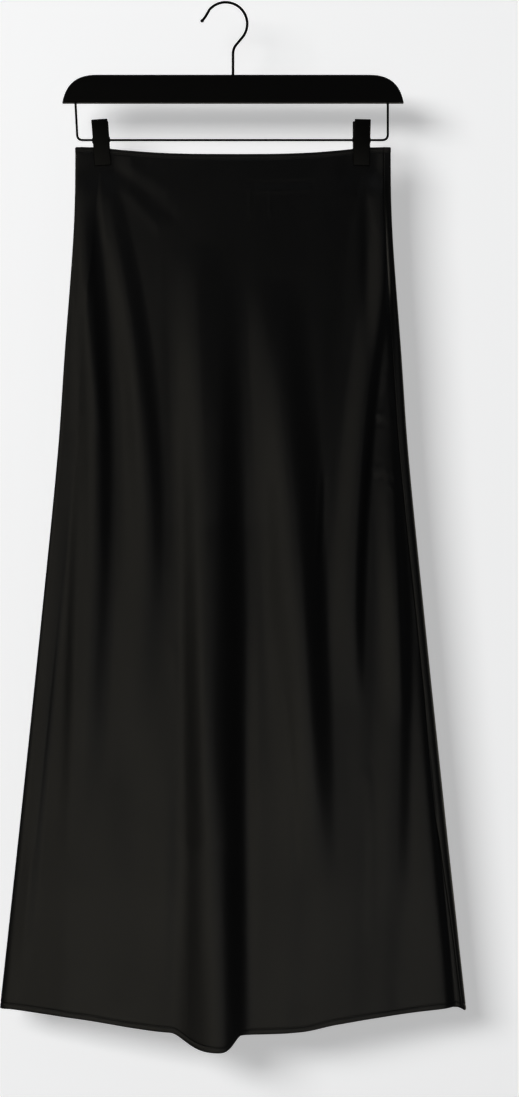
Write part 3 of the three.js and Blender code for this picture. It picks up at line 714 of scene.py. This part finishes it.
hemRow = panelSize["rows"] + [down for down, _ in hemRoll].index(grooves["hem"])
rollCount = len(seamRoll)
for which in panels:
    grid = panels[which]["points"]
    outward = np.cross(grid[hemRow + 1, rollCount:-rollCount] - grid[hemRow - 1, rollCount:-rollCount],
                       grid[hemRow, rollCount + 1:-rollCount + 1] - grid[hemRow, rollCount - 1:-rollCount - 1])
    line = raised(grid[hemRow, rollCount:-rollCount], outward)
    stitches(f"hem_stitches_{which}", line, stitching["hem"])
sectionAt = [down for down, _ in bandSection]
outer, inner = sectionAt.index(grooves["waist"]), sectionAt.index(grooves["waistInside"])
for which in bands:
    ring = bands[which]["points"][2:-2]
    line = raised(ring[:, outer], ring[:, outer] - ring[:, inner])
    stitches(f"waist_stitches_{which}", line, stitching["waist"])

# the hanger; a wire's end stops so far short of its socket's foot as its "free" says
hook = {"wire": 3.0, "radius": 24.0, "tipAngle": 139.0, "neckAngle": -40.0, "tip": (-26.2, -19.1), "ball": 2.0,
        "curl": 2.6, "curlEnd": (-21.6, -13.2), "bendAt": 0.35, "bend": 6, "above": 4, "free": 0.3}
bar = {"length": 380.0, "height": 31.0, "thick": 14.0, "top": -80.0, "edge": 2.5, "socket": 10.0,
       "end": ((0, 0), (3.5, 18), (13, 31.0), (38, 31.0)), "endSteps": 18}
rail = {"wire": 2.6, "left": -175.5, "right": 172.5, "lean": 1.8, "z": -152.1, "bend": 6.5, "socket": 8.0,
        "free": 0.3, "straight": 40}


def bezier(points, count):
    t = np.linspace(0, 1, count)[:, None]
    p = [np.array(q, float) for q in points]
    if len(p) == 3:
        return (1 - t) ** 2 * p[0] + 2 * t * (1 - t) * p[1] + t * t * p[2]
    return (1 - t) ** 3 * p[0] + 3 * t * (1 - t) ** 2 * p[1] + 3 * t * t * (1 - t) * p[2] + t ** 3 * p[3]


# a wire's ends close in smaller rings, whose sizes are shares of its radius
wireEnd = {"sizes": (0.0, 0.55, 0.85), "reach": 0.6}


def wireMesh(name, line, radius, sides=20, ball=None):
    # line is a list of x and z; the rings stand square to it
    path = np.array([p for i, p in enumerate(line) if i == 0 or np.hypot(*(np.array(p) - line[i - 1])) > 1e-4])
    tangent = np.gradient(path, axis=0)
    tangent /= np.linalg.norm(tangent, axis=1, keepdims=True)
    made = bmesh.new()
    rings = []
    around = [2 * math.pi * k / sides for k in range(sides)]
    stations = [(0, -1, size) for size in wireEnd["sizes"]] + [(i, 0, 1.0) for i in range(len(path))]
    stations += [(-1, 1, size) for size in wireEnd["sizes"][::-1]]
    for i, way, size in stations:
        at = path[i] + tangent[i] * (math.sqrt(1 - size * size) * wireEnd["reach"] * radius * way)
        side = np.array([-tangent[i][1], tangent[i][0]])
        rings.append([made.verts.new(Vector((at[0] + side[0] * radius * size * math.cos(a),
                                             radius * size * math.sin(a),
                                             at[1] + side[1] * radius * size * math.cos(a))) * mm) for a in around])
    for a, b in zip(rings, rings[1:]):
        for k in range(sides):
            n = (k + 1) % sides
            made.faces.new((a[k], b[k], b[n], a[n]))
    bmesh.ops.remove_doubles(made, verts=made.verts, dist=1e-6)
    if ball:
        x, z, size = ball
        place = Matrix.Translation(Vector((x, 0, z)) * mm)
        bmesh.ops.create_icosphere(made, subdivisions=3, radius=size * mm, matrix=place)
    bmesh.ops.recalc_face_normals(made, faces=made.faces)
    mesh = bpy.data.meshes.new(name)
    made.to_mesh(mesh)
    made.free()
    mesh.shade_smooth()
    return mesh


begin, neck = math.radians(hook["tipAngle"]), math.radians(hook["neckAngle"])
centreZ = hook["wire"] / 2 - hook["radius"]
arc = [(hook["radius"] * math.cos(a), centreZ + hook["radius"] * math.sin(a)) for a in np.linspace(begin, neck, 60)]
leave = arc[-1]
turnZ = leave[1] - (leave[0] - skirt["centre"]) * math.cos(neck) / -math.sin(neck)
tip = hook["tip"]
middle = skirt["centre"]
lower = (middle + (leave[0] - middle) * hook["bendAt"], turnZ + (leave[1] - turnZ) * hook["bendAt"])
hookLine = [*bezier([tip, (tip[0] + hook["curl"], tip[1] + hook["curl"]), hook["curlEnd"], arc[0]], 16), *arc[1:],
            lower, *bezier([lower, (middle, turnZ), (middle, turnZ - hook["bend"])], 12)[1:],
            (middle, bar["top"] + hook["above"]), (middle, bar["top"] - bar["socket"] + hook["free"])]
hookLine = [tuple(p) for p in hookLine]
addObject("hook_wire", wireMesh("hook_wire", hookLine, hook["wire"] / 2, ball=(*tip, hook["ball"])), wireBlack,
          ["hanger_hook"])

left, right = middle + rail["left"], middle + rail["right"]
foot = bar["top"] - bar["height"]
start = foot + rail["socket"] - rail["free"]
bend, railZ, leftFoot = rail["bend"], rail["z"], left + rail["lean"]
railLine = [(left, start), (left, foot), (left + rail["lean"] * 0.98, railZ + bend + 0.4),
            *bezier([(leftFoot, railZ + bend), (leftFoot, railZ), (leftFoot + bend, railZ)], 10),
            (left + rail["straight"], railZ), (middle, railZ), (right - rail["straight"], railZ),
            *bezier([(right - bend, railZ), (right, railZ), (right, railZ + bend)], 10), (right, foot), (right, start)]
railLine = [tuple(p) for p in railLine]
addObject("rail_wire", wireMesh("rail_wire", railLine, rail["wire"] / 2), wireBlack, ["hanger_rail"])


def barMesh(name):
    leftEnd = bezier([(-bar["length"] / 2 + x, z) for x, z in bar["end"]], bar["endSteps"])
    outline = [*leftEnd, *[(-x, z) for x, z in leftEnd[::-1]]]
    made = bmesh.new()
    frontY, footZ = -bar["thick"] / 2, bar["top"] - bar["height"]
    face = made.faces.new([made.verts.new(Vector((middle + x, frontY, footZ + z)) * mm) for x, z in outline])
    grown = bmesh.ops.extrude_face_region(made, geom=[face])
    verts = [v for v in grown["geom"] if isinstance(v, bmesh.types.BMVert)]
    bmesh.ops.translate(made, verts=verts, vec=(0, bar["thick"] * mm, 0))
    rims = [e for e in made.edges if abs(e.verts[0].co.y - e.verts[1].co.y) < 1e-6]
    bmesh.ops.bevel(made, geom=rims, offset=bar["edge"] * mm, segments=5, profile=0.5, affect="EDGES")
    bmesh.ops.recalc_face_normals(made, faces=made.faces)
    mesh = bpy.data.meshes.new(name)
    made.to_mesh(mesh)
    made.free()
    mesh.shade_smooth()
    mesh.set_sharp_from_angle(angle=math.radians(40))
    return mesh


addObject("bar_wood", barMesh("bar_wood"), woodPaint, ["hanger_bar"])
# the rounding in millimetres, and the angles in degrees past which an edge is real, is rounded and shows sharp
jawLook = {"edge": 0.32, "steps": 3, "real": 1, "rounded": 28, "sharp": 38}


def rounded(name, node):
    # the plates of a clip with their edges rounded over, so that these catch the light
    source = bpy.data.objects[node]
    made = bmesh.new()
    made.from_mesh(source.data)
    made.transform(source.matrix_world)
    bmesh.ops.remove_doubles(made, verts=made.verts, dist=1e-6)
    bmesh.ops.dissolve_limit(made, angle_limit=math.radians(jawLook["real"]), verts=made.verts, edges=made.edges)
    mesh = bpy.data.meshes.new(name)
    made.to_mesh(mesh)
    made.free()
    obj = addObject(name, mesh, jawBlack, [node])
    edge = obj.modifiers.new("edge", "BEVEL")
    edge.width = jawLook["edge"] * mm
    edge.segments = jawLook["steps"]
    edge.limit_method = "ANGLE"
    edge.angle_limit = math.radians(jawLook["rounded"])
    baked(obj)
    obj.data.shade_smooth()
    obj.data.set_sharp_from_angle(angle=math.radians(jawLook["sharp"]))
    return obj


for node in [obj.name for obj in bpy.data.objects if obj.name.startswith("clip_")]:
    if "jaw" in node:
        plates = rounded(node.replace("clip", "jaw"), node)
        print(f"{plates.name}: {len(plates.data.polygons)} faces")
    else:
        for part in bpy.data.objects[node].material_slots:
            part.material = springSteel if "spring" in node else wireBlack
print("hanger made")

# the room is a plain pale box round the floor, for the views from the sides and behind
stageLook = {"wallFoot": 0.048, "wallTop": 0.12, "wallWide": 4, "height": 4.0, "floor": -1.62, "floorWide": 14,
             "white": (0.80, 0.80, 0.80), "glow": 0.44, "floorGlow": 0.66, "roomGlow": 0.78, "room": 13.8}


def stageSheet(name, corners, glow, faces=((0, 1, 2, 3),)):
    mesh = bpy.data.meshes.new(name)
    mesh.from_pydata(corners, [], faces)
    material, wire, shader = newMaterial(name, Base_Color=(*stageLook["white"], 1), Roughness=0.9,
                                         Specular_IOR_Level=0.1, Emission_Color=(1, 1, 1, 1), Emission_Strength=glow)
    mesh.materials.append(material)
    obj = bpy.data.objects.new(name, mesh)
    scene.collection.objects.link(obj)
    obj.visible_glossy = False
    obj.visible_diffuse = False
    obj.visible_shadow = False
    return wire, shader


def level(half, z):
    return [(-half, -half, z), (half, -half, z), (half, half, z), (-half, half, z)]


floorZ, topZ = stageLook["floor"], stageLook["floor"] + stageLook["height"]
stageSheet("floor", level(stageLook["floorWide"], floorZ), stageLook["floorGlow"])
corners = level(stageLook["room"], floorZ) + level(stageLook["room"], floorZ + stageLook["room"])
stageSheet("room", corners, stageLook["roomGlow"],
           [(1, 0, 4, 5), (2, 1, 5, 6), (3, 2, 6, 7), (0, 3, 7, 4), (7, 6, 5, 4)])
wide, footY, topY = stageLook["wallWide"], stageLook["wallFoot"], stageLook["wallTop"]
corners = [(-wide, footY, floorZ), (wide, footY, floorZ), (wide, topY, topZ), (-wide, topY, topZ)]
wire, shader = stageSheet("backdrop", corners, stageLook["glow"])
# the backdrop is there from the front only, so that it doesn't stand before the views from behind
behind = wire.node("ShaderNodeNewGeometry", out=6)
clear = wire.node("ShaderNodeBsdfTransparent")
mixed = wire.node("ShaderNodeMixShader", None, {0: behind, 1: Wire(wire.tree, shader.outputs[0]), 2: clear})
wire.tree.links.new(mixed.socket, wire.tree.nodes["Material Output"].inputs[0])


def areaLight(name, place, target, size, power, colour=(1, 1, 1)):
    data = bpy.data.lights.new(name, "AREA")
    data.shape = "RECTANGLE"
    data.size, data.size_y = size
    data.energy = power
    data.color = colour
    light = bpy.data.objects.new(name, data)
    light.location = place
    light.rotation_euler = (Vector(target) - Vector(place)).to_track_quat("-Z", "Y").to_euler()
    scene.collection.objects.link(light)
    return light


cream, warm, cool, sky = (1, 0.97, 0.90), (1, 0.945, 0.80), (0.94, 0.96, 1), (0.92, 0.95, 1)
# place, target, size, power and colour
lights = {
    "key": ((-1.5, -2.0, 0.6), (0, 0, -0.5), (0.8, 0.8), 1.9, cream),
    "left": ((-2.3, -0.9, -0.1), (0, 0, -0.6), (1.2, 1.4), 5.4, warm),
    "leftLow": ((-1.9, -1.7, -0.95), (0, 0, -0.7), (1.4, 1.2), 2.3, warm),
    "leftFront": ((-1.0, -2.3, -0.95), (0, 0, -0.7), (1.4, 1.0), 3.3, warm),
    "low": ((-0.2, -2.05, -1.5), (0, 0, -0.7), (2.6, 1.0), 7.6, warm),
    "front": ((0.4, -2.6, -0.95), (0, 0, -0.7), (2.0, 1.0), 1.2, cool),
    "top": ((0, -1.2, 1.6), (0, 0, -0.6), (1.6, 1.0), 4.0, sky),
    "lowRight": ((1.2, -1.9, -1.45), (0, 0, -0.8), (1.4, 0.9), 3.0, cream),
    "back": ((1.3, 2.3, 0.3), (0, 0, -0.5), (1.3, 1.3), 6.5, cream),
    "backLow": ((0.2, 2.05, -1.5), (0, 0, -0.7), (2.6, 1.0), 7.5, warm),
    "backRight": ((2.1, 1.3, -0.6), (0, 0, -0.7), (1.3, 1.3), 5.5, warm),
}
for name, light in lights.items():
    areaLight(name, *light)

# the lamp on the backdrop draws the soft shadow and lights nothing else
wallLamp = areaLight("wallLamp", (-3.0, -5.0, 1.3), (0, 0, -0.6), (3.2, 1.7), 236)
wallOnly = bpy.data.collections.new("wallOnly")
wallOnly.objects.link(bpy.data.objects["backdrop"])
wallLamp.light_linking.receiver_collection = wallOnly
# the other lamps leave out the backdrop and the floor, and those behind the skirt its front as well
noWall = bpy.data.collections.new("noWall")
noFront = bpy.data.collections.new("noFront")
for group, names in ((noWall, ("backdrop", "floor")), (noFront, ("backdrop", "floor", "skirt_front"))):
    for name in names:
        group.objects.link(bpy.data.objects[name])
    for link in group.collection_objects:
        link.light_linking.link_state = "EXCLUDE"
for name in lights:
    bpy.data.objects[name].light_linking.receiver_collection = noFront if name.startswith("back") else noWall

world = bpy.data.worlds.new("world")
world.use_nodes = True
world.node_tree.nodes["Background"].inputs["Color"].default_value = (0.90, 0.94, 1, 1)
world.node_tree.nodes["Background"].inputs["Strength"].default_value = 0.06
scene.world = world
print("stage and light set")
